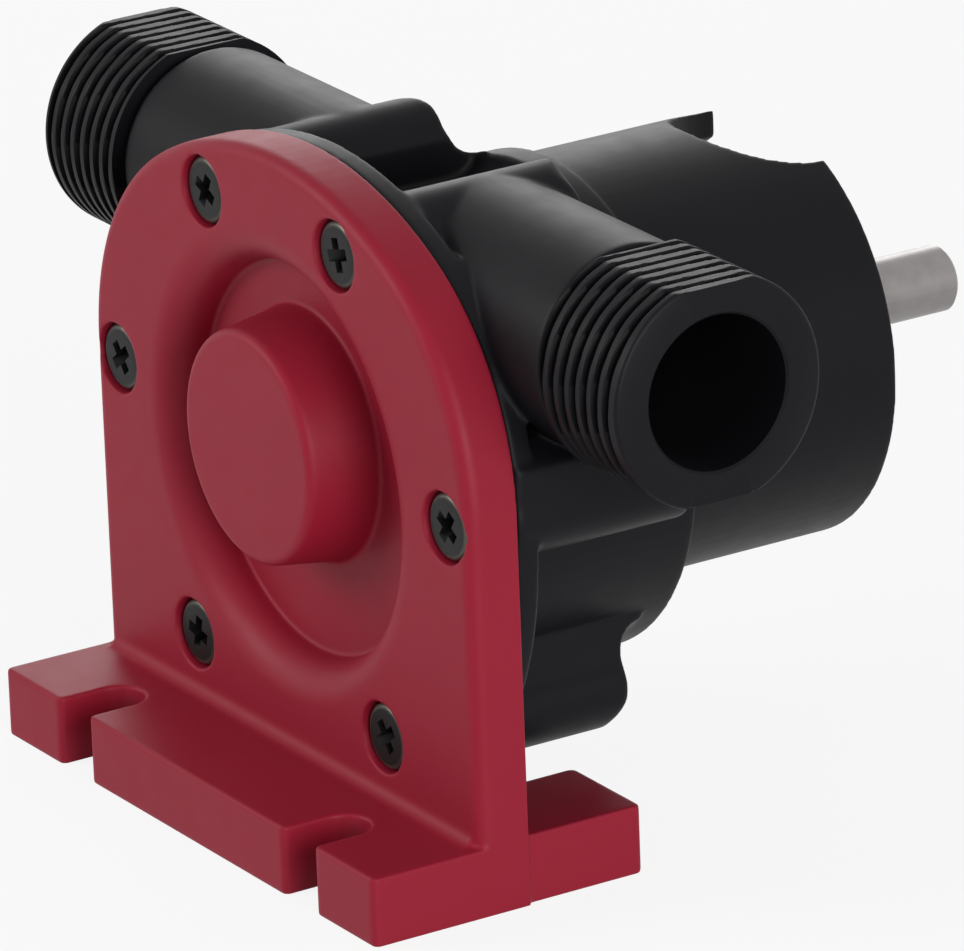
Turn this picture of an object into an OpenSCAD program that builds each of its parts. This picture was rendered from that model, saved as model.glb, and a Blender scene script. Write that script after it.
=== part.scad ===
// Drill powered water pump: a flexible impeller in an off-centre chamber, closed by a
// cover that is also the mounting foot. The shaft runs along Y and its free end is held
// in a drill chuck; the two hose ports lie along X.
// X = 0 is the plane of symmetry, Y = 0 the front face of the cover, Z = 0 the bench.

/* [Cover] */
// Width of the cover and of its foot
cover_w = 82; // [78:0.5:90]
// Thickness of the cover plate
plate_t = 6.6; // [6.4:0.1:9]
// Height of the cover's top above the shaft's axis
arch_rise = 34.4; // [33.5:0.1:37]
// How much smaller the cover's two corner arcs are than half its width
corner_inset = 10.864; // [7:0.1:15]
// Rounding of the cover's front edge
cover_round = 1.7; // [0.6:0.1:2.2]
// Depth of the round recess in the front face
recess_depth = 4.8; // [4:0.1:4.9]
// Radius of the recess at its floor
recess_floor_r = 23.4; // [22:0.1:23.5]
// Rounding of the recess's edge
recess_round = 4.7; // [2:0.1:4.8]
// Radius of the shaft boss at its face
boss_r = 13.9; // [12:0.1:14.5]
// Radius of the shaft boss where it meets the recess floor
boss_foot_r = 15.2; // [14.6:0.1:16]
// How far the boss stands out of the front face
boss_proud = 4; // [3:0.1:6]
// Rounding of the boss's face
boss_round = 1.1; // [0.4:0.1:1.6]
// Fillet between the plate and the foot
foot_fillet = 1.6; // [0.8:0.1:2.5]

/* [Foot] */
// Height of the foot
foot_h = 8.3; // [7:0.1:11]
// How far the foot reaches in front of the plate
foot_front = 14.2; // [12:0.1:18]
// Rounding of the foot's upright corners
foot_round = 0.8; // [0.6:0.1:2.5]
// Width of the two open mounting slots
slot_w = 6.6; // [5:0.1:8]
// Depth of the mounting slots
slot_depth = 9.2; // [7:0.1:11]
// Distance of a slot's centre line from the middle
slot_x = 25; // [22:0.5:28]
// Length of the rear ears behind the plate
ear_len = 15.4; // [12:0.1:20]
// Width of a rear ear
ear_w = 14.2; // [12:0.1:18]
// How far a rear ear is set in from the foot's end
ear_inset = 0.6; // [0.2:0.1:1.5]

/* [Cover screws] */
// Half the spacing of the top pair
top_screw_x = 14.4; // [13.5:0.1:15.5]
// Distance of the top pair below the cover's top
top_screw_drop = 8.2; // [7.8:0.1:9]
// Distance of the middle pair, which sits at the shaft's height, from the cover's sides
mid_screw_inset = 5.3; // [4.8:0.1:6]
// Distance of the bottom pair from the cover's sides
low_screw_inset = 20.3; // [19:0.1:21]
// Distance of the bottom pair below the shaft's axis
low_screw_drop = 29.8; // [29.4:0.1:30.8]
// Radius of a screw's shank
screw_r = 2; // [1.5:0.1:2.2]
// Length of a screw under its head
screw_len = 20; // [14:0.5:22]
// Radius of a screw's head
screw_head_r = 4; // [3.2:0.1:4.1]
// Height of a screw's head
screw_head_t = 2.4; // [1.8:0.1:2.8]
// Depth of a screw's head below the front face
screw_sink = 0.5; // [0.3:0.1:1.2]

/* [Housing] */
// Thickness of the housing's flange
flange_t = 3; // [2:0.1:4]
// Outer radius of the pump chamber's drum
drum_r = 29.5; // [28.9:0.1:30.5]
// Distance of the drum's and the recess's centre below the shaft's axis
drum_drop = 3; // [2.7:0.1:3.3]
// Radius of the pump chamber
chamber_r = 24.4; // [24:0.1:24.6]
// Depth of the pump chamber
chamber_depth = 24.4; // [22:0.1:25]
// Distance of the chamber's centre below the shaft's axis, which makes it a pump
eccentricity = 3.5; // [3:0.1:3.7]
// Distance of the drum's rear face from the cover's front face
drum_end = 38; // [37:0.5:40]
// Thickness of the wall behind the chamber
rear_wall = 4; // [3:0.1:5]
// Radius of the lobes that take the cover screws
lobe_r = 5.3; // [4.6:0.1:5.6]
// Distance of the lobes' rear ends from the cover's front face
lobe_end = 30.2; // [28:0.1:33]
// Rounding of a lobe's rear end
lobe_round = 2.6; // [1:0.1:3]
// Radius of the hollow that leads from a lobe's end to the drum
lobe_scoop = 3.8; // [2:0.1:4.6]

/* [Hose ports] */
// Distance between the two ports' mouths
port_span = 124; // [116:1:140]
// Distance of the port axis behind the cover's front face
port_y = 20; // [19.6:0.1:21]
// Height of the port axis above the shaft's axis
port_rise = 19; // [18.2:0.1:19.7]
// Radius of a port's bore
port_bore_r = 9; // [8:0.1:9.6]
// Radius of a port's smooth neck
neck_r = 12.6; // [12:0.1:12.8]
// Outer radius of the garden hose thread
thread_r = 13.5; // [13.2:0.1:13.6]
// Length of the thread
thread_len = 17; // [14:0.5:20]
// Distance of the flats above and below the thread from the port axis
thread_flat = 12.5; // [12.1:0.1:13]
// Radius of the passage from a port to the chamber
passage_r = 6; // [5:0.1:6.2]

/* [Shaft guard] */
// Outer radius of the guard round the shaft
guard_r = 25.5; // [24:0.1:27]
// Wall of the guard
guard_wall = 3; // [2.2:0.1:3.5]
// Distance of the guard's rear rim from the cover's front face
guard_end = 68.3; // [60:0.5:76]
// Radius of the round notch in the top of the guard's rim
notch_r = 11.4; // [9:0.1:13]

/* [Shaft and impeller] */
// Height of the shaft's axis
shaft_h = 45.3; // [44.8:0.1:45.8]
// Radius of the shaft
shaft_r = 4; // [3.8:0.1:4.2]
// Distance of the shaft's free end from the cover's front face
shaft_end = 92; // [85:0.5:110]
// Number of blades
blade_count = 6; // [5:1:8]
// Radius of the rubber hub
rubber_hub_r = 9.4; // [9:0.1:10]
// Thickness of a blade at its root
blade_t = 2.8; // [2:0.1:3.2]
// Radius of the bead at a blade's tip
bead_r = 1.7; // [1.3:0.1:2]
// Radius of the metal hub moulded into the rubber
metal_hub_r = 6.4; // [6:0.1:7]
// Radius of the pin that drives the hub
pin_r = 1.25; // [1:0.05:1.4]

/* [Bearings and seal] */
// Outer radius of the plain bush in the cover
bush_r = 6; // [5.5:0.1:7]
// Length of the plain bush
bush_len = 6.6; // [5:0.1:8]
// Outer radius of the shaft seal
seal_r = 8; // [7.5:0.1:8.4]
// Width of the shaft seal
seal_w = 5; // [4.6:0.1:5.4]
// Outer radius of the ball bearing
bearing_r = 11; // [10.8:0.1:11.4]
// Width of the ball bearing
bearing_w = 7; // [6.8:0.1:7.6]
// Radius of a bearing ball
ball_r = 1.985; // [1.8:0.005:2]
// Number of bearing balls
ball_count = 7; // [6:1:7]
// Thickness of the retaining rings
ring_t = 0.9; // [0.7:0.05:1.1]

/* [Hidden] */
$fn = 96;
// Overrun of every cut past the face that it leaves
over = 1;
// Gap of a rotating fit and of a fixed fit
run_gap = 0.05;
fit_gap = 0.02;

// Colours as the photograph shows them
red = [0.60, 0.10, 0.19];
black = [0.10, 0.10, 0.11];
steel = [0.70, 0.70, 0.70];

// Heights
chamber_h = shaft_h - eccentricity;
drum_h = shaft_h - drum_drop;
port_h = shaft_h + port_rise;
cover_top = shaft_h + arch_rise;
top_screw_h = cover_top - top_screw_drop;
low_screw_h = shaft_h - low_screw_drop;

// Cover: its outline is a flat top arc that runs smoothly into two corner arcs and the sides.
// The arcs meet where their radius leans over by 60 degrees.
cover_r = cover_w / 2;
corner_turn = 60;
corner_arc_r = cover_r - corner_inset;
top_arc_r = corner_arc_r + corner_inset / cos(corner_turn);
top_arc_h = cover_top - top_arc_r;
corner_h = top_arc_h + corner_inset * tan(corner_turn);
rim_w = cover_r / 4;
counterbore_gap = 0.25;
counterbore_r = screw_head_r + counterbore_gap;
counterbore_depth = screw_sink + screw_head_t;
clear_hole_r = screw_r + 0.1 * screw_r;
mid_screw_x = cover_r - mid_screw_inset;
low_screw_x = cover_r - low_screw_inset;
screw_places = [for (side = [-1, 1]) each [[side * top_screw_x, top_screw_h],
  [side * mid_screw_x, shaft_h], [side * low_screw_x, low_screw_h]]];
slot_end_y = slot_depth - foot_front;
ear_outer = cover_r - ear_inset;

// Housing, measured along Y from the cover's front face
flange_back = plate_t + flange_t;
flange_inset = 0.4;
flange_r = cover_r - flange_inset;
chamber_back = plate_t + chamber_depth;
guard_floor = chamber_back + rear_wall;
port_end = port_span / 2;
bore_depth = port_end - top_screw_x - screw_r - passage_r;
passage_step = 0.3;
passage_h = port_h - port_bore_r + passage_r + passage_step;
land_x = 2 * passage_r;
mouth_chamfer = 0.8;
flange_low = 0.5;
fill_inset = 2;
fill_gap = 0.4;
saddle_inset = 0.3;
top_pocket_floor = chamber_h + chamber_r + 1.8;

// Seal, bearing and their pockets along Y
seal_start = chamber_back + 2;
seal_end = seal_start + seal_w;
ring_gap = 0.05;
bearing_start = seal_end + ring_t + 2 * ring_gap;
bearing_end = bearing_start + bearing_w;
bearing_mid = (bearing_start + bearing_end) / 2;
boss_wall = 3.2;
ring_bite = 0.7;
boss_end = bearing_end + 2 * ring_t + 2 * ring_gap;

// Impeller along Y
wall_gap = 0.15;
impeller_front = plate_t + wall_gap;
impeller_back = chamber_back - wall_gap;
washer_t = 0.8;
washer_r = rubber_hub_r - 1.4;
hub_front = impeller_front + washer_t;
hub_back = impeller_back - washer_t;
pin_y = hub_front + 2 * pin_r;
pin_half = metal_hub_r - 0.4;

// Plain rod along Y, and a revolved section whose second axis runs along Y
module y_rod(radius, start, end) {
  translate([0, start, 0])
    rotate([-90, 0, 0])
      cylinder(r = radius, h = end - start);
}

module y_turned() {
  rotate([-90, 0, 0])
    rotate_extrude()
      children();
}

// Tube along Y
module y_tube(inner, outer, start, end) {
  difference() {
    y_rod(outer, start, end);
    y_rod(inner, start - over, end + over);
  }
}

// Rod along X, towards one side
module x_rod(radius, start, end, side) {
  translate([side > 0 ? start : -end, 0, 0])
    rotate([0, 90, 0])
      cylinder(r = radius, h = end - start);
}

module at_shaft() {
  translate([0, 0, shaft_h])
    children();
}

module at_screws() {
  for (place = screw_places)
    translate([place[0], 0, place[1]])
      children();
}

// Sweeps a section round one arc of the cover's rim; angles run from -X over +Z
module rim_arc(radius, from, to) {
  rotate([90, 0, 180])
    rotate([0, 0, from])
      rotate_extrude(angle = to - from)
        translate([radius, 0])
          children();
}

// Sweeps a section up the sides from a height and over the top. Its outer edge lies at 0,
// it reaches rim_w inwards, and its second axis runs along Y.
module along_rim(low) {
  for (side = [0, 1])
    mirror([side, 0, 0]) {
      translate([0, 0, top_arc_h])
        rim_arc(top_arc_r, 90, 180 - corner_turn)
          children();
      translate([-corner_inset, 0, corner_h])
        rim_arc(corner_arc_r, 0, corner_turn)
          children();
      translate([0, 0, low])
        linear_extrude(corner_h - low)
          translate([cover_r, 0])
            children();
    }
}

// Points in the middle of that rim, for the plain plate that fills it
function rim_point(turn) = let (
    on_top = turn > corner_turn && turn < 180 - corner_turn,
    radius = (on_top ? top_arc_r : corner_arc_r) - rim_w / 2,
    centre = on_top ? [0, top_arc_h] : [turn < 90 ? -corner_inset : corner_inset, corner_h])
  centre + radius * [-cos(turn), sin(turn)];

module plate_rim_section() {
  translate([-rim_w, 0])
    square([rim_w - cover_round, plate_t]);
  translate([-rim_w, cover_round])
    square([rim_w, plate_t - cover_round]);
  translate([-cover_round, cover_round])
    circle(cover_round);
}

// Cover plate, with one rounded front edge all the way round
module cover_plate() {
  side_x = cover_r - rim_w / 2;
  along_rim(0)
    plate_rim_section();
  translate([0, plate_t, 0])
    rotate([90, 0, 0])
      linear_extrude(plate_t)
        polygon(concat([[-side_x, 0]], [for (turn = [0 : 10 : 180]) rim_point(turn)], [[side_x, 0]]));
}

// Rectangle with rounded corners, given by its low and high corner
module soft_rectangle(low, high, rounding) {
  size = high - low;
  translate(low + [rounding, 0])
    square(size - [2 * rounding, 0]);
  translate(low + [0, rounding])
    square(size - [0, 2 * rounding]);
  for (x = [low[0] + rounding, high[0] - rounding])
    for (y = [low[1] + rounding, high[1] - rounding])
      translate([x, y])
        circle(rounding);
}

// Open slot with a round end, and the flared mouth that its rounded corners leave
module slot_outline() {
  half = slot_w / 2;
  translate([-half, -foot_front - over])
    square([slot_w, slot_depth - half + over]);
  translate([0, slot_end_y - half])
    circle(half);
  difference() {
    translate([-half - foot_round, -foot_front - over])
      square([slot_w + 2 * foot_round, foot_round + over]);
    for (side = [-1, 1])
      translate([side * (half + foot_round), foot_round - foot_front])
        circle(foot_round);
  }
}

module foot_outline() {
  difference() {
    soft_rectangle([-cover_r, -foot_front], [cover_r, plate_t], foot_round);
    for (side = [-1, 1])
      translate([side * slot_x, 0])
        slot_outline();
  }
  translate([-cover_r, 0])
    square([cover_w, plate_t]);
  for (side = [0, 1])
    mirror([side, 0])
      soft_rectangle([ear_outer - ear_w, plate_t - 2 * foot_round], [ear_outer, plate_t + ear_len], foot_round);
}

module plate_fillet() {
  translate([-cover_r + cover_round, 0, foot_h])
    rotate([90, 0, 90])
      linear_extrude(cover_w - 2 * cover_round)
        difference() {
          translate([-foot_fillet, -foot_fillet / 2])
            square([2 * foot_fillet, 1.5 * foot_fillet]);
          translate([-foot_fillet, foot_fillet])
            circle(foot_fillet);
        }
}

// Half section of the recess, whose wall is one large rounding
module recess_section() {
  translate([0, -over])
    square([recess_floor_r, recess_depth + over]);
  difference() {
    translate([recess_floor_r - over, -over])
      square([recess_round + over, recess_round + over]);
    translate([recess_floor_r + recess_round, recess_round])
      circle(recess_round);
  }
}

// Drafted boss with a rounded face, from its face at 0 to its foot
module boss_section() {
  height = boss_proud + recess_depth + over;
  polygon([[0, 0], [boss_r - boss_round, 0], [boss_r, boss_round], [boss_foot_r, height], [0, height]]);
  translate([boss_r - boss_round, boss_round])
    circle(boss_round);
}

module front_cover() {
  color(red)
    difference() {
      union() {
        difference() {
          union() {
            cover_plate();
            plate_fillet();
          }
          translate([0, 0, drum_h])
            y_turned()
              recess_section();
        }
        linear_extrude(foot_h)
          foot_outline();
        translate([0, -boss_proud, shaft_h])
          y_turned()
            boss_section();
      }
      at_screws() {
        y_rod(counterbore_r, -over - foot_front, counterbore_depth);
        y_rod(clear_hole_r, 0, plate_t + over);
      }
      at_shaft()
        y_rod(bush_r + fit_gap, plate_t - bush_len - over, plate_t + over);
    }
}

// Pan head with a cross recess, a thread-forming shank and a short point
module cover_screw() {
  head_face = screw_sink;
  head_back = screw_sink + screw_head_t;
  dome = 0.45 * screw_head_t;
  cross_l = 1.15 * screw_head_r;
  cross_w = 0.24 * screw_head_r;
  cross_d = 0.6 * screw_head_t;
  difference() {
    translate([0, head_face, 0])
      y_turned()
        union() {
          polygon([[0, 0], [screw_head_r - dome, 0], [screw_head_r, dome], [screw_head_r, screw_head_t],
            [0, screw_head_t]]);
          translate([screw_head_r - dome, dome])
            circle(dome);
        }
    for (turn = [0, 90])
      rotate([0, turn, 0])
        translate([-cross_l / 2, head_face - over, -cross_w / 2])
          cube([cross_l, cross_d + over, cross_w]);
  }
  y_rod(screw_r, head_back - dome / 2, head_back + screw_len - screw_r);
  translate([0, head_back + screw_len - screw_r, 0])
    rotate([-90, 0, 0])
      cylinder(r1 = screw_r, r2 = screw_r / 3, h = screw_r);
}

module cover_screws() {
  color(black)
    at_screws()
      cover_screw();
}

// Seal between cover and housing: a cord pressed flat in a groove of the flange's face
groove_wall = 1.2;
groove_w = 2.1;
groove_depth = 1.5;
cord_round = 0.6;

module cover_o_ring() {
  inner = chamber_r + groove_wall + fit_gap;
  outer = chamber_r + groove_wall + groove_w - fit_gap;
  color([0.06, 0.06, 0.06])
    translate([0, plate_t, chamber_h])
      y_turned()
        soft_rectangle([inner, 0], [outer, groove_depth], cord_round);
}

// One screw lobe with its web down to the drum, seen along Y
module lobe_outline(place) {
  reach = [0, drum_h] - place;
  along = reach / norm(reach);
  across = [-along[1], along[0]];
  depth = norm(reach) - drum_r + lobe_r / 2;
  flare = 1.35 * lobe_r;
  translate(place)
    circle(lobe_r);
  polygon([place + lobe_r * across, place - lobe_r * across, place + depth * along - flare * across,
    place + depth * along + flare * across]);
}

// Side view of a lobe: a rounded rear end, then a hollow that runs out on the drum
module lobe_side(top) {
  root = drum_r - lobe_r / 2;
  translate([root, 0])
    square([top - root, lobe_end - lobe_round]);
  translate([root, 0])
    square([top - lobe_round - root, lobe_end]);
  translate([top - lobe_round, lobe_end - lobe_round])
    circle(lobe_round);
  translate([root, 0])
    square([drum_r - root, lobe_end + lobe_scoop]);
  difference() {
    translate([root, lobe_end - over])
      square([drum_r - root + lobe_scoop, lobe_scoop + over]);
    translate([drum_r + lobe_scoop, lobe_end + lobe_scoop])
      circle(lobe_scoop);
  }
}

module lobes() {
  for (place = screw_places) {
    reach = place - [0, drum_h];
    intersection() {
      translate([0, lobe_end + lobe_scoop, 0])
        rotate([90, 0, 0])
          linear_extrude(lobe_end + lobe_scoop - plate_t)
            lobe_outline(place);
      translate([0, 0, drum_h])
        rotate([0, -atan2(reach[1], reach[0]), 0])
          linear_extrude(4 * lobe_r, center = true)
            lobe_side(norm(reach) + lobe_r);
    }
  }
}

// Block under each neck that ties it to the drum, the flange and the middle lobe
module port_saddle(side) {
  outer = mid_screw_x + lobe_r - saddle_inset;
  saddle_end = lobe_end - lobe_round;
  translate([0, saddle_end, 0])
    rotate([90, 0, 0])
      linear_extrude(saddle_end - plate_t - fill_gap)
        mirror([side > 0 ? 0 : 1, 0])
          polygon([[0, shaft_h], [outer, shaft_h], [outer, port_h - neck_r],
            [outer - neck_r / 4, port_h - 0.8 * neck_r], [neck_r, port_h - neck_r / 2], [0, drum_h]]);
}

// In front of its middle plane each neck grows out of a filling that follows the flange's rim
module port_fill(side) {
  translate([0, port_y, 0])
    rotate([90, 0, 0])
      linear_extrude(port_y - plate_t - fill_gap)
        mirror([side > 0 ? 0 : 1, 0])
          intersection() {
            translate([0, top_arc_h])
              circle(top_arc_r - flange_inset - fill_inset);
            translate([top_screw_x, port_h])
              square(flange_r);
          }
}

// Hollow between the top lobes, its rear end swept up to the drum
module top_pocket() {
  half = top_screw_x - lobe_r;
  sweep = drum_h + drum_r - top_pocket_floor;
  pocket_end = lobe_end + lobe_scoop;
  translate([-half, 0, 0])
    rotate([90, 0, 90])
      linear_extrude(2 * half) {
        translate([flange_back, top_pocket_floor])
          square([pocket_end - sweep - flange_back, cover_r]);
        translate([flange_back, top_pocket_floor + sweep])
          square([pocket_end - flange_back, cover_r]);
        translate([pocket_end - sweep, top_pocket_floor + sweep])
          circle(sweep);
      }
}

module port_outside(side) {
  translate([0, port_y, port_h]) {
    x_rod(neck_r, top_screw_x, port_end - over, side);
    difference() {
      union() {
        x_rod(thread_r, port_end - thread_len, port_end - mouth_chamfer, side);
        translate([side * (port_end - mouth_chamfer), 0, 0])
          rotate([0, side * 90, 0])
            cylinder(r1 = thread_r, r2 = thread_r - mouth_chamfer, h = mouth_chamfer);
      }
      for (z = [thread_flat, -thread_flat - thread_r])
        translate([side > 0 ? port_end - thread_len - over : -port_end - over, -thread_r, z])
          cube([thread_len + 2 * over, 2 * thread_r, thread_r]);
    }
  }
}

module port_inside(side) {
  translate([0, port_y, port_h])
    x_rod(port_bore_r, port_end - bore_depth, port_end + over, side);
  translate([0, port_y, passage_h])
    x_rod(passage_r, land_x, port_end - bore_depth + over, side);
}

// Flange that follows the cover above the chamber's middle and is round below it
module housing_flange() {
  low_r = flange_r - rim_w / 2;
  translate([0, plate_t, 0]) {
    along_rim(chamber_h)
      translate([-rim_w, 0])
        square([rim_w - flange_inset, flange_t]);
    translate([0, 0, chamber_h])
      rim_arc(cover_r, 180, 360)
        translate([-rim_w, 0])
          square([rim_w - flange_inset, flange_t]);
    translate([0, flange_t, 0])
      rotate([90, 0, 0])
        linear_extrude(flange_t)
          polygon(concat([for (turn = [0 : 10 : 180]) rim_point(turn)],
            [for (turn = [180 : 10 : 360]) [-low_r * cos(turn), chamber_h + low_r * sin(turn)]]));
  }
}

module pump_housing() {
  groove_in = chamber_r + groove_wall;
  color(black)
    difference() {
      union() {
        housing_flange();
        translate([0, 0, drum_h])
          y_rod(drum_r, plate_t, drum_end);
        lobes();
        for (side = [-1, 1]) {
          port_outside(side);
          port_saddle(side);
          port_fill(side);
        }
        at_shaft() {
          y_tube(guard_r - guard_wall, guard_r, guard_floor - rear_wall / 2, guard_end);
          y_rod(bearing_r + boss_wall, chamber_back, boss_end);
        }
      }
      top_pocket();
      // Flat that keeps the flange's rim off the bench
      translate([-flange_r, plate_t - over, -flange_r])
        cube([2 * flange_r, flange_t + 2 * over, flange_r + flange_low]);
      // Chamber, seal groove and port passages
      translate([0, 0, chamber_h]) {
        y_rod(chamber_r, plate_t - over, chamber_back);
        y_tube(groove_in, groove_in + groove_w, plate_t - over, plate_t + groove_depth);
      }
      for (side = [-1, 1])
        port_inside(side);
      // Shaft hole, seal pocket, bearing pocket and its ring groove
      at_shaft() {
        y_rod(1.2 * shaft_r, chamber_back - over, seal_start + over);
        y_rod(seal_r + fit_gap, seal_start, bearing_start + over);
        y_rod(bearing_r + fit_gap, bearing_start, boss_end + over);
        y_rod(bearing_r + ring_bite, bearing_end + ring_gap, bearing_end + ring_gap + ring_t + 2 * ring_gap);
      }
      // Hollow of the guard round the bearing boss
      at_shaft()
        y_tube(bearing_r + boss_wall, guard_r - guard_wall, guard_floor, guard_end + over);
      translate([0, guard_end, shaft_h])
        cylinder(r = notch_r, h = guard_r + over);
      at_screws()
        y_rod(screw_r + fit_gap, plate_t - over, counterbore_depth + screw_len + over);
    }
}

module front_bush() {
  color([0.72, 0.55, 0.30])
    at_shaft()
      y_tube(shaft_r + run_gap, bush_r, plate_t - bush_len, plate_t);
}

// Pressed steel case of the seal, an L in section
case_t = 0.7;

module seal_case() {
  color(steel)
    at_shaft()
      translate([0, seal_start, 0])
        y_turned()
          union() {
            translate([seal_r - case_t, 0])
              square([case_t, seal_w]);
            translate([seal_r - 3 * case_t, seal_w - case_t])
              square([3 * case_t, case_t]);
          }
}

// Rubber of the seal: a skin inside the case and a lip that leans on the shaft, held by a spring
spring_wire_r = 0.45;
spring_ring_r = shaft_r + 1.7;
spring_y = 1.5;
lip_gap = 0.03;

module seal_lip() {
  inner = shaft_r + lip_gap;
  outer = seal_r - case_t - fit_gap;
  back = seal_w - case_t - fit_gap;
  color([0.12, 0.10, 0.09])
    at_shaft()
      translate([0, seal_start, 0])
        y_turned()
          difference() {
            polygon([[inner, 0.25 * seal_w], [inner + 0.12 * seal_w, 0.08 * seal_w], [spring_ring_r, 0.08 * seal_w],
              [spring_ring_r, 0.62 * seal_w], [outer - 0.1 * seal_w, 0.66 * seal_w],
              [outer - 0.1 * seal_w, 0.1 * seal_w], [outer, 0.1 * seal_w], [outer, back],
              [inner + 0.2 * seal_w, back], [inner + 0.14 * seal_w, 0.55 * seal_w]]);
            translate([spring_ring_r, spring_y])
              circle(spring_wire_r + fit_gap, $fn = 32);
          }
}

module seal_spring() {
  color(steel)
    at_shaft()
      translate([0, seal_start, 0])
        y_turned()
          translate([spring_ring_r, spring_y])
            circle(spring_wire_r, $fn = 32);
}

// Ball bearing: races with a groove round the ball circle, shields let into the outer race
ball_circle_r = (shaft_r + bearing_r) / 2;
groove_r = 1.04 * ball_r;
race_shoulder = 0.72 * ball_r;
inner_shoulder_r = ball_circle_r - race_shoulder;
outer_shoulder_r = ball_circle_r + race_shoulder;
shield_t = 0.3;
shield_step = 0.35;

module race_groove() {
  translate([ball_circle_r, bearing_w / 2])
    circle(groove_r, $fn = 64);
}

module at_bearing() {
  at_shaft()
    translate([0, bearing_start, 0])
      children();
}

module bearing_outer_race() {
  color(steel)
    at_bearing()
      y_turned()
        difference() {
          translate([outer_shoulder_r, 0])
            square([bearing_r - outer_shoulder_r, bearing_w]);
          race_groove();
          for (y = [-over, bearing_w - shield_t - fit_gap])
            translate([0, y])
              square([outer_shoulder_r + shield_step, shield_t + fit_gap + over]);
        }
}

module bearing_inner_race() {
  color(steel)
    at_bearing()
      y_turned()
        difference() {
          translate([shaft_r + fit_gap, 0])
            square([inner_shoulder_r - shaft_r - fit_gap, bearing_w]);
          race_groove();
        }
}

module at_balls() {
  for (ball = [0 : ball_count - 1])
    rotate([0, 360 / ball_count * ball, 0])
      translate([ball_circle_r, bearing_w / 2, 0])
        children();
}

module bearing_balls() {
  color([0.8, 0.8, 0.82])
    at_bearing()
      at_balls()
        sphere(ball_r, $fn = 48);
}

module bearing_cage() {
  half_t = 0.3 * ball_r;
  rim = 0.32 * ball_r;
  pocket_r = 1.02 * ball_r;
  color([0.75, 0.68, 0.45])
    at_bearing()
      difference() {
        y_tube(ball_circle_r - half_t, ball_circle_r + half_t, bearing_w / 2 - pocket_r - rim,
          bearing_w / 2 + pocket_r + rim);
        at_balls()
          rotate([0, 90, 0])
            cylinder(r = pocket_r, h = 4 * half_t, center = true);
      }
}

module bearing_shields() {
  inner = inner_shoulder_r + 0.15 * race_shoulder;
  outer = outer_shoulder_r + shield_step - fit_gap;
  color(steel)
    at_bearing()
      for (y = [0, bearing_w - shield_t])
        y_tube(inner, outer, y, y + shield_t);
}

// Split ring with its gap towards the bench
module split_ring(inner, outer, gap, start) {
  difference() {
    y_tube(inner, outer, start, start + ring_t);
    translate([-gap / 2, start - over, -outer - over])
      cube([gap, ring_t + 2 * over, outer - inner / 2 + over]);
  }
}

module bearing_circlip() {
  color([0.25, 0.25, 0.27])
    at_shaft()
      split_ring(bearing_r - 2 * ring_bite, bearing_r + ring_bite - fit_gap, 6 * ring_t,
        bearing_end + 2 * ring_gap);
}

shaft_groove_r = shaft_r - 0.35;
shaft_ring_r = shaft_r + 1.4;
shaft_ring_starts = [bearing_start - ring_gap - ring_t, bearing_end + ring_gap];

module shaft_circlips() {
  color([0.25, 0.25, 0.27])
    at_shaft()
      for (start = shaft_ring_starts)
        split_ring(shaft_groove_r + fit_gap, shaft_ring_r, 3 * ring_t, start);
}

// Shaft with two ring grooves, the cross hole of its pin and chamfered ends
end_chamfer = 0.5;
shaft_front = plate_t - bush_len + 0.3;

module drive_shaft() {
  color(steel)
    at_shaft()
      difference() {
        union() {
          y_rod(shaft_r, shaft_front + end_chamfer, shaft_end - end_chamfer);
          translate([0, shaft_front, 0])
            rotate([-90, 0, 0])
              cylinder(r1 = shaft_r - end_chamfer, r2 = shaft_r, h = end_chamfer);
          translate([0, shaft_end - end_chamfer, 0])
            rotate([-90, 0, 0])
              cylinder(r1 = shaft_r, r2 = shaft_r - end_chamfer, h = end_chamfer);
        }
        for (start = shaft_ring_starts)
          y_tube(shaft_groove_r, shaft_r + over, start - fit_gap, start + ring_t + fit_gap);
        translate([0, pin_y, 0])
          x_rod(pin_r, -shaft_r - over, shaft_r + over, 1);
      }
}

module drive_pin() {
  color([0.6, 0.6, 0.62])
    translate([0, pin_y, shaft_h])
      x_rod(pin_r - fit_gap, -pin_half, pin_half, 1);
}

// Metal hub inside the rubber, slotted at its front end for the pin
module impeller_hub() {
  slot = 2 * (pin_r + run_gap);
  color([0.78, 0.62, 0.30])
    at_shaft()
      difference() {
        y_tube(shaft_r + fit_gap, metal_hub_r, hub_front, hub_back);
        translate([-metal_hub_r - over, hub_front - over, -slot / 2])
          cube([2 * metal_hub_r + 2 * over, pin_y + slot / 2 - hub_front + over, slot]);
      }
}

// Flexible blades. A blade keeps its moulded length, which just reaches the chamber's far side,
// and bends in an arc until its bead meets the wall. Angles run from +Z, lag is backwards.
bead_gap = 0.12;
hub_inset = 0.1;
blade_len = chamber_r + eccentricity - rubber_hub_r - bead_r - bead_gap;
bend_steps = 24;
blade_points = 10;

// Distance from the shaft to the chamber's wall at an angle
function wall_at(angle) = sqrt(pow(chamber_r, 2) - pow(eccentricity * sin(angle), 2)) - eccentricity * cos(angle);

// Point at a share of the blade's length, as [out, aside], for a total bend in degrees
function along_blade(share, bend) = let (turn = bend * share, reach = blade_len * share)
  turn < 0.01 ? [rubber_hub_r + reach, 0]
  : [rubber_hub_r + reach * sin(turn) / (turn * PI / 180), reach * (1 - cos(turn)) / (turn * PI / 180)];

// How far a bead would stand through the wall for a bend
function excess(angle, bend) = let (tip = along_blade(1, bend))
  norm(tip) + bead_r + bead_gap - wall_at(angle + atan2(tip[1], tip[0]));

function solve_bend(angle, low, high, left) = let (mid = (low + high) / 2)
  left == 0 ? high
  : excess(angle, mid) > 0 ? solve_bend(angle, mid, high, left - 1)
  : solve_bend(angle, low, mid, left - 1);

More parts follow.
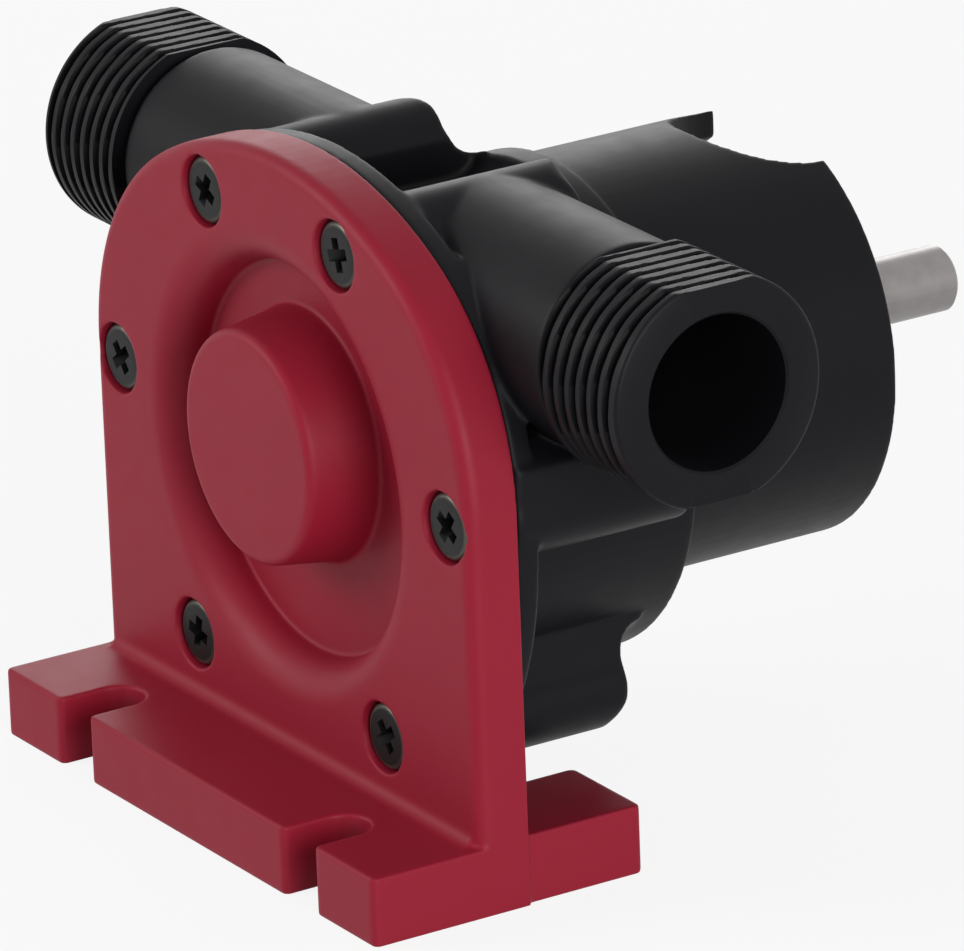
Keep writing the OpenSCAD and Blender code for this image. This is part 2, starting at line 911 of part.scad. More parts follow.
function blade_side(bend, side) = [for (i = [0 : blade_points]) let (share = i / blade_points, turn = bend * share,
  half = blade_t / 2 * (1 - 0.35 * share))
  along_blade(share, bend) + side * half * [-sin(turn), cos(turn)]];

function reversed(list) = [for (i = [len(list) - 1 : -1 : 0]) list[i]];

module blade(angle) {
  bend = solve_bend(angle, 0, 150, bend_steps);
  tip = along_blade(1, bend);
  root = rubber_hub_r - 0.75 * blade_t;
  rotate([0, angle - 90, 0])
    rotate([90, 0, 0])
      translate([0, 0, -impeller_back])
        linear_extrude(impeller_back - impeller_front) {
          mirror([0, 1]) {
            polygon(concat([[root, -blade_t / 2]], blade_side(bend, -1), reversed(blade_side(bend, 1)),
              [[root, blade_t / 2]]));
            translate(tip)
              circle(bead_r);
          }
        }
}

module impeller() {
  color([0.13, 0.13, 0.12])
    at_shaft()
      difference() {
        union() {
          y_rod(rubber_hub_r, impeller_front + hub_inset, impeller_back - hub_inset);
          for (i = [0 : blade_count - 1])
            blade(360 / blade_count * (i + 0.5));
        }
        y_rod(metal_hub_r, impeller_front - over, impeller_back + over);
        y_rod(washer_r + fit_gap, impeller_front - over, hub_front);
        y_rod(washer_r + fit_gap, hub_back, impeller_back + over);
      }
}

module thrust_washers() {
  color([0.9, 0.9, 0.86])
    at_shaft()
      for (start = [impeller_front, hub_back])
        y_tube(shaft_r + run_gap, washer_r, start, start + washer_t);
}

front_cover();
cover_screws();
cover_o_ring();
pump_housing();
front_bush();
seal_case();
seal_lip();
seal_spring();
bearing_outer_race();
bearing_inner_race();
bearing_balls();
bearing_cage();
bearing_shields();
bearing_circlip();
shaft_circlips();
drive_shaft();
drive_pin();
impeller_hub();
impeller();
thrust_washers();
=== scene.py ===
"""Drill powered pump: the finished look of its moulded cover, moulded housing, hose threads,
cover screws and ground shaft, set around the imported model. Lengths in metres, +Z up, the
cover faces -Y and the shaft runs along +Y."""
import math

import bmesh
import bpy
import numpy as np
from mathutils import Matrix, Vector


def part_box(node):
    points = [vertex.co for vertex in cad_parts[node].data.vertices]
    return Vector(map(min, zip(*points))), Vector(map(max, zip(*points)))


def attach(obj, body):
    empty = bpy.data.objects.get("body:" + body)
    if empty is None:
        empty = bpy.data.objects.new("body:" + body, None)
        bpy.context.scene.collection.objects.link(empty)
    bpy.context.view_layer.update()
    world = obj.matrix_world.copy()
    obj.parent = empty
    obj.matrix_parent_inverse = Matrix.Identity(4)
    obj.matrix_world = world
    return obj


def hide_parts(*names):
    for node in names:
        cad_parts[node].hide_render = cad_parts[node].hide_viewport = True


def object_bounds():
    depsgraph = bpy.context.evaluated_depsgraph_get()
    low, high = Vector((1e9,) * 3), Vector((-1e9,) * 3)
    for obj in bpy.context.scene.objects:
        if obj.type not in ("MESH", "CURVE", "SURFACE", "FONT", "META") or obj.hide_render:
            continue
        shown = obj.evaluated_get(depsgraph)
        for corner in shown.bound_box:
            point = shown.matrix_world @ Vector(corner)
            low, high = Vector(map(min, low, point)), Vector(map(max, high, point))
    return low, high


MM = 0.001
MERGE_DISTANCE = 0.002 * MM

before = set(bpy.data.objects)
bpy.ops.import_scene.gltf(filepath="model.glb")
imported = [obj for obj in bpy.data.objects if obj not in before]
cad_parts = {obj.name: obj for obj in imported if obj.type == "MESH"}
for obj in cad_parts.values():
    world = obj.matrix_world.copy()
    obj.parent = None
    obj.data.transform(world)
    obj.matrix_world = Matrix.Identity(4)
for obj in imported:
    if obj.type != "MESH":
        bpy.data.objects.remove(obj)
cad_low, cad_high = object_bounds()
scene = bpy.context.scene

# Ports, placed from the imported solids: they end at the sides of the pump's box, above the shaft
PORT_RISE = 19 * MM
shaft_low, shaft_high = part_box("drive_shaft")
PORT_END = cad_high.x
PORT_Y = 20 * MM
PORT_Z = (shaft_low.z + shaft_high.z) / 2 + PORT_RISE

# Hose thread
PORT_BORE_R = 9 * MM
THREAD_CREST_R = 13.5 * MM
THREAD_ROOT_R = 11.8 * MM
THREAD_FLAT = 12.5 * MM
THREAD_LENGTH = 17 * MM
THREAD_PITCH = 2.2 * MM
THREAD_OVERLAP = 0.6 * MM
PLAIN_AT_MOUTH = 0.9 * MM
GROOVE_AT_NECK = 1.1 * MM
# Half a ridge, as shares of the pitch: where its flat top ends and where its flank reaches the root
RIDGE_TOP, RIDGE_FOOT = 0.20, 0.40
MOUTH_ROUND = 0.5 * MM
BORE_CHAMFER = 0.3 * MM
BORE_RING_DEPTH = 1.2 * MM
THREAD_ROWS = 116
THREAD_SIDES = 192

# Cover screws
HEAD_R = 4.0 * MM
HEAD_HEIGHT = 2.4 * MM
HEAD_ROUND = 0.85 * MM
SHANK_R = 2.0 * MM
CROSS_HALF = 2.2 * MM
CROSS_WIDTH = 1.45 * MM
CROSS_DEPTH = 1.9 * MM
# How much of its length and of its width the cross loses towards its floor, and how far its
# cutter stands above the head, as shares
CROSS_TAPER = 0.62
CROSS_WIDTH_TAPER = 0.55
CROSS_ABOVE = 0.15
SCREW_TURNS = (-38, 12, 25, -15, 55, 33)
SCREW_SIDES = 64
EDGE_ROWS = 12
FIRST_SHANK_ROW = EDGE_ROWS + 3
SHANK_ROWS = 9

# Moulded edges: cells of the fine skin, and how many times it is smoothed
COVER_CELL = 0.21 * MM
HOUSING_CELL = 0.25 * MM
COVER_SOFTENING = 14
HOUSING_SOFTENING = 30
MOST_FACES = 190_000
CUT_MARGIN = 5 * MM
CRISP_ANGLE = 38

# Camera, solved from the photograph: turns in degrees, its distance from the point that it looks
# at, how many pixels the picture's middle lies beside the lens's axis, and its film in millimetres
CAMERA_AZIMUTH = 58.6913
CAMERA_ELEVATION = 19.8035
CAMERA_ROLL = -2.2572
CAMERA_DISTANCE = 1.213
CAMERA_TARGET = Vector((0, 0.02, 0.045))
PHOTO_WIDTH = 964
PIXELS_PER_METRE = 8710.9
PIXELS_ASIDE = (57.07, -68.59)
SENSOR_WIDTH = 36
CLIP_NEAR, CLIP_FAR = 0.01, 20

# Studio: a lamp's place and power, and how bright the floor and the surroundings are
LAMPS = {
    "front left": ((-0.55, -0.85, 0.50), 5.5),
    "right side": ((0.95, -0.10, 0.25), 6.5),
    "rear left": ((-0.95, 0.60, 0.42), 2.4),
}
LAMP_SIZE = 0.6
WHITE = (1, 1, 1, 1)
FLOOR_COLOUR = (0.80, 0.80, 0.80, 1)
FLOOR_HALF = 4.0
FLOOR_DROP = 0.02 * MM
FLOOR_GLOW = 0.88
SKY_LIGHT = 0.24


class Sock:
    """A node's output that takes part in Python arithmetic."""

    def __init__(self, maker, socket):
        self.maker, self.socket = maker, socket

    def math(self, operation, *values):
        inputs = dict(enumerate((self, *values)))
        return self.maker.node("ShaderNodeMath", {"operation": operation}, inputs)

    def __add__(self, other):
        return self.math("ADD", other)

    def __sub__(self, other):
        return self.math("SUBTRACT", other)

    def __mul__(self, other):
        return self.math("MULTIPLY", other)

    def __truediv__(self, other):
        return self.math("DIVIDE", other)

    def __rsub__(self, other):
        return self.maker.node("ShaderNodeMath", {"operation": "SUBTRACT"}, {0: other, 1: self})

    def __neg__(self):
        return 0.0 - self

    __radd__, __rmul__ = __add__, __mul__

    def at_least(self, other):
        return self.math("MAXIMUM", other)

    def at_most(self, other):
        return self.math("MINIMUM", other)

    def above(self, other):
        return self.math("GREATER_THAN", other)

    def below(self, other):
        return self.math("LESS_THAN", other)

    def near(self, number):
        """1 where the value is this whole number, else 0."""
        return self.math("COMPARE", number, 0.5)

    def sine(self):
        return self.math("SINE")

    def cosine(self):
        return self.math("COSINE")


class Maker:
    """A node tree whose nodes are made one at a time from Python."""

    def __init__(self, tree):
        self.tree = tree

    def node(self, kind, settings=None, values=None, out=0):
        made = self.tree.nodes.new(kind)
        for key, value in (settings or {}).items():
            setattr(made, key, value)
        for key, value in (values or {}).items():
            self.feed(made.inputs[key], value)
        return Sock(self, made.outputs[out])

    def feed(self, socket, value):
        if isinstance(value, Sock):
            self.tree.links.new(value.socket, socket)
        else:
            socket.default_value = value

    def rays(self, *kinds):
        """1 for rays of any of these kinds, else 0."""
        path = self.tree.nodes.new("ShaderNodeLightPath")
        seen, *others = [Sock(self, path.outputs[kind]) for kind in kinds]
        for other in others:
            seen = seen.at_least(other)
        return seen

    def either_shader(self, factor, first, second):
        return self.node("ShaderNodeMixShader", {}, {0: factor, 1: first, 2: second})


class Finish(Maker):
    """One material."""

    def __init__(self, name):
        self.material = bpy.data.materials.new(name)
        self.material.use_nodes = True
        super().__init__(self.material.node_tree)
        self.shader = self.tree.nodes["Principled BSDF"]

    def set(self, **values):
        """Feeds the shader's inputs, named with underscores for their spaces."""
        for key, value in values.items():
            self.feed(self.shader.inputs[key.replace("_", " ")], value)
        return self

    def place(self):
        return self.node("ShaderNodeTexCoord", out="Object")

    def noise(self, scale, detail=2.0, roughness=0.5, place=None):
        return self.node("ShaderNodeTexNoise", {"noise_dimensions": "3D"}, {
            "Vector": place or self.place(), "Scale": scale, "Detail": detail, "Roughness": roughness})

    def mixed_colour(self, factor, first, second):
        return self.node("ShaderNodeMix", {"data_type": "RGBA"}, {
            "Factor": factor, 6: (*first, 1.0), 7: (*second, 1.0)}, out=2)

    def bump(self, height, distance):
        return self.node("ShaderNodeBump", {}, {"Height": height, "Distance": distance, "Strength": 1.0})


class Shape(Maker):
    """One Geometry Nodes tree whose named inputs are lengths and numbers of the piece."""

    def __init__(self, name, **sizes):
        self.name, self.sizes = name, sizes
        super().__init__(bpy.data.node_groups.new(name, "GeometryNodeTree"))
        face = self.tree.interface
        face.new_socket("Places", in_out="INPUT", socket_type="NodeSocketGeometry")
        self.keys = {}
        for key, value in sizes.items():
            kind = "NodeSocketInt" if isinstance(value, int) else "NodeSocketFloat"
            self.keys[key] = face.new_socket(key, in_out="INPUT", socket_type=kind).identifier
        face.new_socket("Shape", in_out="OUTPUT", socket_type="NodeSocketGeometry")
        self.given = self.tree.nodes.new("NodeGroupInput")

    def __getitem__(self, key):
        return Sock(self, self.given.outputs[key])

    def rod(self, ends):
        """A rod along Z, 1 long and 1 in radius, with its middle at the origin."""
        settings = {"fill_type": ends}
        values = {"Vertices": self["around"], "Side Segments": self["along"], "Radius": 1.0, "Depth": 1.0}
        return self.node("GeometryNodeMeshCylinder", settings, values)

    def point(self):
        """The three coordinates of the point that is being worked on."""
        split = self.node("ShaderNodeSeparateXYZ", {}, {0: self.node("GeometryNodeInputPosition")})
        return [Sock(self, output) for output in split.socket.node.outputs]

    def moved(self, shape, x, y, z):
        """The shape with each of its points put at this place."""
        place = self.node("ShaderNodeCombineXYZ", {}, {0: x, 1: y, 2: z})
        return self.node("GeometryNodeSetPosition", {}, {"Geometry": shape, "Position": place})

    def less(self, shape, *cutters):
        """The shape without the cutters."""
        made = self.tree.nodes.new("GeometryNodeMeshBoolean")
        made.operation, made.solver = "DIFFERENCE", "MANIFOLD"
        self.feed(made.inputs[0], shape)
        for cutter in cutters:
            self.feed(made.inputs[1], cutter)
        return Sock(self, made.outputs[0])

    def set_out(self, shape, places, turns, material):
        """Sets the shape out at each place, turned as its row in turns says, as one plain object."""
        kind = {"data_type": "FLOAT_VECTOR"}
        turn = self.node("GeometryNodeInputNamedAttribute", kind, {"Name": "turn"})
        turned = self.node("FunctionNodeEulerToRotation", {}, {0: turn})
        spread = self.node("GeometryNodeInstanceOnPoints", {}, {
            "Points": self["Places"], "Instance": shape, "Rotation": turned})
        whole = self.node("GeometryNodeRealizeInstances", {}, {"Geometry": spread})
        coloured = self.node("GeometryNodeSetMaterial", {}, {"Geometry": whole, "Material": material})
        self.feed(self.tree.nodes.new("NodeGroupOutput").inputs[0], coloured)
        mesh = bpy.data.meshes.new(self.name)
        mesh.from_pydata([tuple(place) for place in places], [], [])
        stored = mesh.attributes.new("turn", "FLOAT_VECTOR", "POINT")
        stored.data.foreach_set("vector", np.array(turns, np.float32).ravel())
        thing = new_object(self.name, mesh)
        modifier = thing.modifiers.new("shape", "NODES")
        modifier.node_group = self.tree
        for key, value in self.sizes.items():
            modifier[self.keys[key]] = value
        return settled(thing, self.name)


def plain(name, colour, roughness, metallic=0.0):
    """A finish that is the same all over."""
    finish = Finish(name)
    finish.set(Base_Color=(*colour, 1.0), Metallic=metallic, Roughness=roughness)
    return finish.material


def moulded_plastic(name, colour, deep, roughness, grain, gloss):
    """Injection moulded plastic: even colour, a faint mottle, fine grain that scatters the gloss."""
    uneven_gloss, uneven_height = 0.10, 0.6
    finish = Finish(name)
    mottle = finish.mixed_colour(finish.noise(scale=90.0), deep, colour)
    fine = finish.noise(scale=5200.0, roughness=0.6)
    broad = finish.noise(scale=320.0)
    finish.set(Base_Color=mottle, Roughness=roughness + (broad - 0.5) * uneven_gloss,
               Specular_IOR_Level=gloss, Normal=finish.bump(fine + broad * uneven_height, grain))
    return finish.material


def ground_steel(name, colour, roughness):
    """Steel ground round its axis, which lies along Y: rings of uneven gloss."""
    smear_shade, ring_gloss, ring_height = 0.72, 0.16, 0.004 * MM
    finish = Finish(name)
    stretched = finish.node("ShaderNodeMapping", {}, {
        "Vector": finish.place(), "Scale": (0.02, 1.0, 0.02)})
    rings = finish.noise(scale=9000.0, detail=3.0, roughness=0.7, place=stretched)
    dull = [channel * smear_shade for channel in colour]
    finish.set(Base_Color=finish.mixed_colour(finish.noise(scale=420.0), dull, colour), Metallic=1.0,
               Roughness=roughness + rings * ring_gloss, Normal=finish.bump(rings, ring_height))
    return finish.material


def blackened_steel(name, black, rim_highlight_grey, roughness, gloss):
    """Blackened steel with a painted highlight on the heads' rounded rim, where its rim attribute says: a
    patchy, lighter, partly metallic grey that stands in for the light the rim catches.
    """
    least_rim_highlight, patchy_rim_highlight = 0.45, 0.7
    patch_gloss, highlight_metal, patch_height = 0.08, 0.8, 0.006 * MM
    finish = Finish(name)
    rim = finish.node("ShaderNodeAttribute", {"attribute_name": "rim"}, out="Fac")
    patchy = finish.noise(scale=900.0, detail=3.0)
    # Painted highlight: the rim is mixed towards a lighter, partly metallic grey, unevenly along its way
    # round
    painted_rim_highlight = rim * rim * (patchy * patchy_rim_highlight + least_rim_highlight)
    finish.set(Base_Color=finish.mixed_colour(painted_rim_highlight, black, rim_highlight_grey), Metallic=painted_rim_highlight * highlight_metal,
               Roughness=roughness + patchy * patch_gloss, Specular_IOR_Level=gloss,
               Normal=finish.bump(patchy, patch_height))
    return finish.material


RED = moulded_plastic("red moulded plastic", colour=(0.300, 0.0105, 0.0300), deep=(0.275, 0.0090, 0.0265),
                      roughness=0.50, grain=0.010 * MM, gloss=0.20)
BLACK = moulded_plastic("black moulded plastic", colour=(0.0080, 0.0080, 0.0098),
                        deep=(0.0062, 0.0062, 0.0078), roughness=0.44, grain=0.012 * MM, gloss=0.10)
# The screws' rims carry a painted highlight in a lighter grey than the blackened face
SCREW_BLACK = blackened_steel("blackened screw steel", black=(0.0075, 0.0082, 0.0080),
                              rim_highlight_grey=(0.16, 0.15, 0.13), roughness=0.34, gloss=0.14)
SHAFT_STEEL = ground_steel("ground shaft steel", colour=(0.30, 0.285, 0.28), roughness=0.30)
BRIGHT_STEEL = plain("bright steel", colour=(0.62, 0.61, 0.60), roughness=0.22, metallic=1.0)
BRONZE = plain("sintered bronze", colour=(0.50, 0.31, 0.13), roughness=0.45, metallic=1.0)
BRASS = plain("turned brass", colour=(0.62, 0.43, 0.16), roughness=0.3, metallic=1.0)
RUBBER = plain("black rubber", colour=(0.014, 0.014, 0.013), roughness=0.62)
WASHER_WHITE = plain("white washer plastic", colour=(0.72, 0.71, 0.66), roughness=0.5)

CAD_FINISHES = {
    "front_cover": RED,
    "pump_housing": BLACK,
    "cover_screws": SCREW_BLACK,
    "cover_o_ring": RUBBER,
    "front_bush": BRONZE,
    "drive_shaft": SHAFT_STEEL,
    "drive_pin": BRIGHT_STEEL,
    "impeller": RUBBER,
    "impeller_hub": BRASS,
    "thrust_washers": WASHER_WHITE,
    "seal_case": BRIGHT_STEEL,
    "seal_lip": RUBBER,
    "seal_spring": BRIGHT_STEEL,
    "bearing_outer_race": BRIGHT_STEEL,
    "bearing_inner_race": BRIGHT_STEEL,
    "bearing_balls": BRIGHT_STEEL,
    "bearing_cage": BRASS,
    "bearing_shields": BRIGHT_STEEL,
    "bearing_circlip": SCREW_BLACK,
    "shaft_circlips": SCREW_BLACK,
}


def new_object(name, mesh):
    """An object in the scene that shows this mesh."""
    made = bpy.data.objects.new(name, mesh)
    scene.collection.objects.link(made)
    return made


def settled(thing, name):
    """A plain object with the modifiers of this one worked in, which it takes the place of."""
    bpy.context.view_layer.update()
    graph = bpy.context.evaluated_depsgraph_get()
    mesh = bpy.data.meshes.new_from_object(thing.evaluated_get(graph))
    mesh.name = name
    bpy.data.objects.remove(thing)
    return new_object(name, mesh)


def merged_solids(node):
    """The node's solids as closed meshes, ready to be worked on."""
    solids = bmesh.new()
    solids.from_mesh(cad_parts[node].data)
    bmesh.ops.remove_doubles(solids, verts=solids.verts, dist=MERGE_DISTANCE)
    return solids


def object_from(solids, name):
    """An object made of these solids, which are used up."""
    mesh = bpy.data.meshes.new(name)
    solids.to_mesh(mesh)
    solids.free()
    return new_object(name, mesh)


def block(low, high):
    """A plain block from its low to its high corner, as a cutter."""
    solid = bmesh.new()
    bmesh.ops.create_cube(solid, size=1.0)
    low, high = Vector(low), Vector(high)
    for v in solid.verts:
        v.co = Vector([low[i] + (v.co[i] + 0.5) * (high[i] - low[i]) for i in range(3)])
    return object_from(solid, "cutter")


def cut(thing, cutter):
    """The thing without the cutter, which is used up."""
    boolean = thing.modifiers.new("cut", "BOOLEAN")
    boolean.operation, boolean.solver, boolean.object = "DIFFERENCE", "EXACT", cutter
    made = settled(thing, thing.name)
    bpy.data.objects.remove(cutter)
    return made


def softened(thing, name, cell, passes):
    """The thing as a fine, even skin whose edges are rounded off, as moulding leaves them."""
    remesh = thing.modifiers.new("skin", "REMESH")
    remesh.mode, remesh.voxel_size, remesh.use_smooth_shade = "VOXEL", cell, True
    soft = thing.modifiers.new("soft", "SMOOTH")
    soft.factor, soft.iterations = 0.5, passes
    made = settled(thing, name)
    faces = sum(len(p.vertices) - 2 for p in made.data.polygons)
    if faces > MOST_FACES:
        fewer = made.modifiers.new("fewer", "DECIMATE")
        fewer.ratio = MOST_FACES / faces
        made = settled(made, name)
    return made


def keep_inside(thing, low, high):
    """Draws in every point that stands outside this box."""
    places = np.empty(len(thing.data.vertices) * 3, np.float32)
    thing.data.vertices.foreach_get("co", places)
    places = np.clip(places.reshape(-1, 3), low, high)
    thing.data.vertices.foreach_set("co", places.ravel())
    thing.data.update()


def finish_piece(thing, material, replaced, crisp=False):
    """Gives the piece its material, smooth or crisp shading and its body, and hides the node it stands
    for.
    """
    thing.data.materials.clear()
    thing.data.materials.append(material)
    thing.data.polygons.foreach_set("use_smooth", [True] * len(thing.data.polygons))
    if crisp:
        thing.data.set_sharp_from_angle(angle=math.radians(CRISP_ANGLE))
    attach(thing, "pump")
    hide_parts(replaced)


def cover_moulding():
    """The red cover with its foot."""
    cover = object_from(merged_solids("front_cover"), "cover")
    cover = softened(cover, "cover_moulding", COVER_CELL, COVER_SOFTENING)
    keep_inside(cover, *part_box("front_cover"))
    return cover


def housing_moulding():
    """The black housing without its threaded ends."""
    housing = object_from(merged_solids("pump_housing"), "housing")
    reach = THREAD_CREST_R + CUT_MARGIN
    for side in (-1, 1):
        left, right = sorted((side * (PORT_END - THREAD_LENGTH), side * (PORT_END + CUT_MARGIN)))
        low = (left, PORT_Y - reach, PORT_Z - reach)
        high = (right, PORT_Y + reach, PORT_Z + reach)
        housing = cut(housing, block(low, high))
    housing = softened(housing, "housing_moulding", HOUSING_CELL, HOUSING_SOFTENING)
    keep_inside(housing, *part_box("pump_housing"))
    return housing


def hose_threads():
    """The two hose ends: a tube with a helical thread, its crests cut flat above and below."""
    shape = Shape("hose_threads", crest=THREAD_CREST_R, root=THREAD_ROOT_R, flat=THREAD_FLAT,
                  length=THREAD_LENGTH, overlap=THREAD_OVERLAP, pitch=THREAD_PITCH, bore=PORT_BORE_R,
                  mouth=MOUTH_ROUND, around=THREAD_SIDES, along=THREAD_ROWS)
    crest, root, length, mouth = shape["crest"], shape["root"], shape["length"], shape["mouth"]
    # Rows of an open sleeve: one at the bore's inner end, two in the bore, the two edges of the
    # mouth, then back along the thread, and a last one at the inner end again, where it is merged
    inner_end, bore_ring, chamfer_end, inner_edge, outer_edge = range(5)
    sleeve = shape.rod("NONE")
    x, y, z = shape.point()
    row = ((0.5 - z) * shape["along"]).math("ROUND")
    on_last = row.above(shape["along"] - 0.5)
    outside = row.above(outer_edge - 0.5) * (1.0 - on_last)
    reach = length + shape["overlap"]
    along_thread = (row - outer_edge) / (shape["along"] - (outer_edge + 1))
    from_mouth = along_thread.at_least(0.0).at_most(1.0) * reach
    turn = y.math("ARCTAN2", x)
    phase = (from_mouth / shape["pitch"] + turn / math.tau).math("FRACT")
    ridge = shape.node("ShaderNodeMapRange", {"interpolation_type": "SMOOTHSTEP"}, {
        "Value": (phase - 0.5).math("ABSOLUTE"), "From Min": RIDGE_TOP, "From Max": RIDGE_FOOT,
        "To Min": 1.0, "To Max": 0.0})
    plain_mouth = from_mouth.below(PLAIN_AT_MOUTH)
    before_groove = (length - from_mouth).above(GROOVE_AT_NECK)
    height = ridge.at_least(plain_mouth) * before_groove
    short = (mouth - from_mouth).at_least(0.0)
    rounding = mouth - (mouth * mouth - short * short).at_least(0.0).math("SQRT")
    outer_r = root + (crest - root) * height - rounding
    inner_r = shape["bore"] + BORE_CHAMFER * row.near(inner_edge)
    radius = inner_r + (outer_r - inner_r) * outside
    depth = from_mouth * outside + reach * row.near(inner_end).at_least(on_last)
    depth = depth + BORE_RING_DEPTH * row.near(bore_ring) + BORE_CHAMFER * row.near(chamfer_end)
    up = (radius * turn.sine()).at_most(shape["flat"]).at_least(-shape["flat"])
    tube = shape.moved(sleeve, -depth, -(radius * turn.cosine()), up)
    tube = shape.node("GeometryNodeMergeByDistance", {}, {"Geometry": tube, "Distance": MERGE_DISTANCE})
    places = [(side * PORT_END, PORT_Y, PORT_Z) for side in (-1, 1)]
    return shape.set_out(tube, places, [(0, 0, math.pi), (0, 0, 0)], BLACK)


def screw_places():
    """Where the axis of each cover screw meets the top of its head, from left to right."""
    solids = merged_solids("cover_screws")
    unseen, places = set(solids.verts), []
    while unseen:
        group, edge = set(), [unseen.pop()]
        while edge:
            vert = edge.pop()
            group.add(vert)
            joined = {link.other_vert(vert) for link in vert.link_edges} & unseen
            unseen -= joined
            edge.extend(joined)
        low = [min(v.co[i] for v in group) for i in range(3)]
        high = [max(v.co[i] for v in group) for i in range(3)]
        places.append(((low[0] + high[0]) / 2, low[1], (low[2] + high[2]) / 2))
    solids.free()
    return sorted(places)


def cross_arm(shape, turned):
    """One arm of the cutter for a screw's cross, narrower towards the recess's floor."""
    arm = shape.node("GeometryNodeMeshCube", {}, {
        "Size": (1, 1, 1), "Vertices X": 2, "Vertices Y": 2, "Vertices Z": 2})
    x, y, z = shape.point()
    taper = 1.0 - (y + 0.5) * CROSS_TAPER
    long = x * 2.0 * shape["half"] * taper
    wide = z * shape["width"] * (1.0 - CROSS_WIDTH_TAPER + taper * CROSS_WIDTH_TAPER)
    deep = (y + 0.5) * shape["depth"] * (1.0 + CROSS_ABOVE) - shape["depth"] * CROSS_ABOVE
    if turned:
        return shape.moved(arm, wide, deep, -long)
    return shape.moved(arm, long, deep, wide)


def cover_screws():
    """Pan head screws with a tapered cross recess, each stopped at its own turn."""
    screws_low, screws_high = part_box("cover_screws")
    shape = Shape("cover_screw_set", head=HEAD_R, height=HEAD_HEIGHT, rounding=HEAD_ROUND, shank=SHANK_R,
                  length=screws_high.y - screws_low.y, half=CROSS_HALF, width=CROSS_WIDTH,
                  depth=CROSS_DEPTH, around=SCREW_SIDES, along=FIRST_SHANK_ROW + SHANK_ROWS)
    head, height, rounding = shape["head"], shape["height"], shape["rounding"]
    # Rows of the rod, from the top down: the rounded edge, then one row at the head's lower rim,
    # one where its underside meets the shank, and the rows of the shank
    blank = shape.rod("NGON")
    x, y, z = shape.point()
    row = (0.5 - z) * shape["along"]
    below_edge = row.above(EDGE_ROWS + 0.5)
    under_head = row.above(EDGE_ROWS + 1.5)
    quarter = (row / EDGE_ROWS).at_most(1.0) * (math.pi / 2)
    edge_r = head - rounding + rounding * quarter.sine()
    edge_depth = rounding - rounding * quarter.cosine()
    down_shank = ((row - FIRST_SHANK_ROW) / SHANK_ROWS).at_least(0.0)
    depth = edge_depth + (height - edge_depth) * below_edge + (shape["length"] - height) * down_shank
    radius = edge_r + (shape["shank"] - edge_r) * under_head
    # Painted highlight mask: strongest halfway round the head's rounded edge, where the rim catches the
    # light
    rim = ((quarter * 2.0).sine() * (1.0 - below_edge)).at_least(0.0)
    blank = shape.node("GeometryNodeStoreNamedAttribute", {"data_type": "FLOAT", "domain": "POINT"}, {
        "Geometry": blank, "Name": "rim", "Value": rim})
    body = shape.moved(blank, x * radius, depth, y * radius)
    screw = shape.less(body, cross_arm(shape, False), cross_arm(shape, True))
    turns = [(0, math.radians(turn), 0) for turn in SCREW_TURNS]
    return shape.set_out(screw, screw_places(), turns, SCREW_BLACK)


def photo_camera():
    """The camera of the photograph."""
    azimuth, elevation, roll = (math.radians(a) for a in (CAMERA_AZIMUTH, CAMERA_ELEVATION, CAMERA_ROLL))
    right = Vector((math.cos(azimuth), math.sin(azimuth), 0))
    back = Vector((math.sin(azimuth) * math.cos(elevation), -math.cos(azimuth) * math.cos(elevation),
                   math.sin(elevation)))
    up = back.cross(right)
    across = math.cos(roll) * right + math.sin(roll) * up
    upright = math.cos(roll) * up - math.sin(roll) * right
    camera = bpy.data.objects.new("camera", bpy.data.cameras.new("camera"))
    scene.collection.objects.link(camera)
    turn = Matrix((across, upright, back)).transposed().to_4x4()
    camera.matrix_world = Matrix.Translation(CAMERA_TARGET + back * CAMERA_DISTANCE) @ turn
    camera.data.sensor_width = SENSOR_WIDTH
    camera.data.lens = PIXELS_PER_METRE * CAMERA_DISTANCE / PHOTO_WIDTH * SENSOR_WIDTH
    camera.data.shift_x, camera.data.shift_y = (pixels / PHOTO_WIDTH for pixels in PIXELS_ASIDE)
    camera.data.clip_start, camera.data.clip_end = CLIP_NEAR, CLIP_FAR
    scene.camera = camera


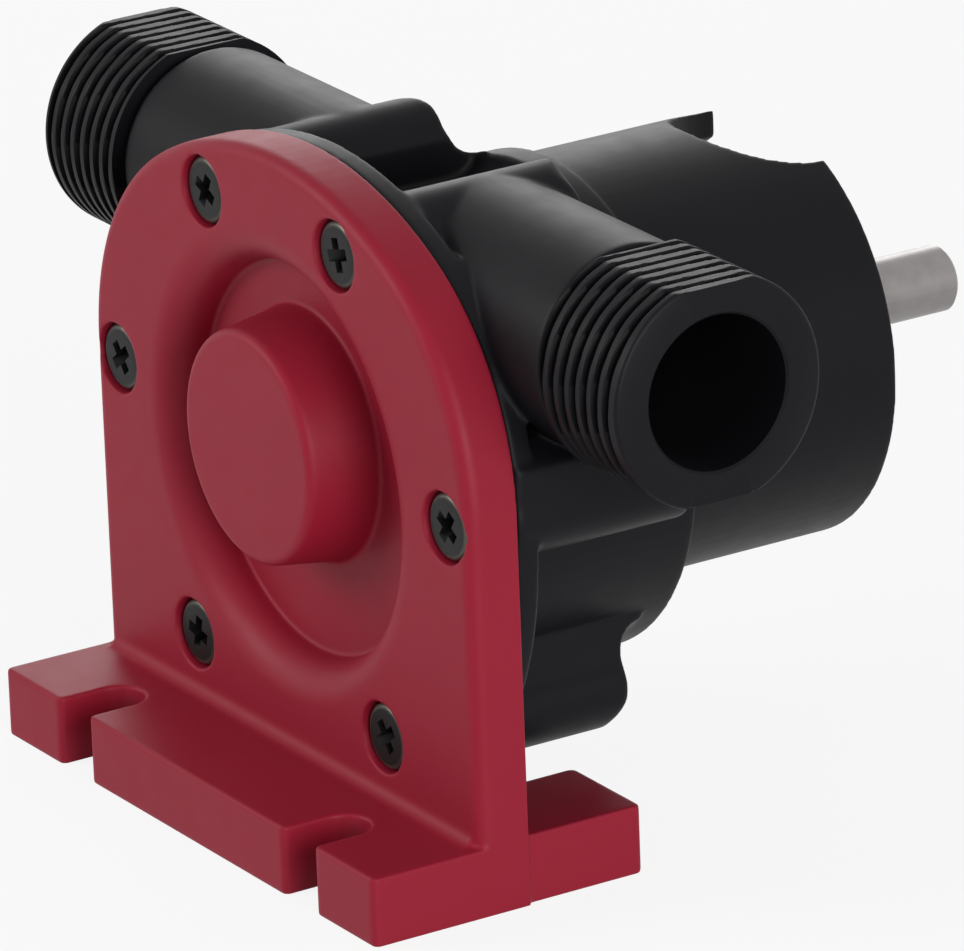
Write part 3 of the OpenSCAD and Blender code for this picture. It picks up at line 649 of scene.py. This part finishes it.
def pale_floor():
    """A floor that the camera and reflections see almost white, and that light falls on as on paper."""
    finish = Finish("pale floor").set(Base_Color=FLOOR_COLOUR, Roughness=0.9)
    paper = Sock(finish, finish.shader.outputs[0])
    glow = finish.node("ShaderNodeEmission", {}, {"Color": WHITE, "Strength": 1.0})
    seen = finish.rays("Is Camera Ray", "Is Glossy Ray")
    surface = finish.either_shader(seen * FLOOR_GLOW, paper, glow)
    finish.feed(finish.tree.nodes["Material Output"].inputs["Surface"], surface)
    mesh = bpy.data.meshes.new("floor")
    corners = [(x * FLOOR_HALF, y * FLOOR_HALF, 0) for x, y in ((-1, -1), (1, -1), (1, 1), (-1, 1))]
    mesh.from_pydata(corners, [], [(0, 1, 2, 3)])
    mesh.materials.append(finish.material)
    floor = new_object("floor", mesh)
    floor.location.z = -FLOOR_DROP


def surroundings():
    """White where the camera or a reflection sees past the floor, and else a weak, even light."""
    world = bpy.data.worlds.new("studio")
    scene.world = world
    world.use_nodes = True
    sky = Maker(world.node_tree)
    light = sky.node("ShaderNodeBackground", {}, {"Color": WHITE, "Strength": SKY_LIGHT})
    backdrop = sky.tree.nodes["Background"]
    backdrop.inputs["Color"].default_value = WHITE
    seen = sky.rays("Is Camera Ray", "Is Glossy Ray", "Is Transmission Ray")
    surface = sky.either_shader(seen, light, Sock(sky, backdrop.outputs[0]))
    sky.feed(sky.tree.nodes["World Output"].inputs["Surface"], surface)


def lamp(name, place, power):
    """A round, soft lamp that points at the pump."""
    light = bpy.data.lights.new(name, "AREA")
    light.shape, light.size, light.energy = "DISK", LAMP_SIZE, power
    made = bpy.data.objects.new(name, light)
    scene.collection.objects.link(made)
    made.location = place
    made.rotation_euler = (CAMERA_TARGET - Vector(place)).to_track_quat("-Z", "Y").to_euler()


for node_name, material in CAD_FINISHES.items():
    node_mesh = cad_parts[node_name].data
    node_mesh.materials.clear()
    node_mesh.materials.append(material)

finish_piece(cover_moulding(), RED, "front_cover")
finish_piece(housing_moulding(), BLACK, "pump_housing")
finish_piece(hose_threads(), BLACK, "pump_housing", crisp=True)
finish_piece(cover_screws(), SCREW_BLACK, "cover_screws", crisp=True)

photo_camera()
pale_floor()
surroundings()
for lamp_name, (lamp_place, lamp_power) in LAMPS.items():
    lamp(lamp_name, lamp_place, lamp_power)
scene.view_settings.view_transform = "Standard"
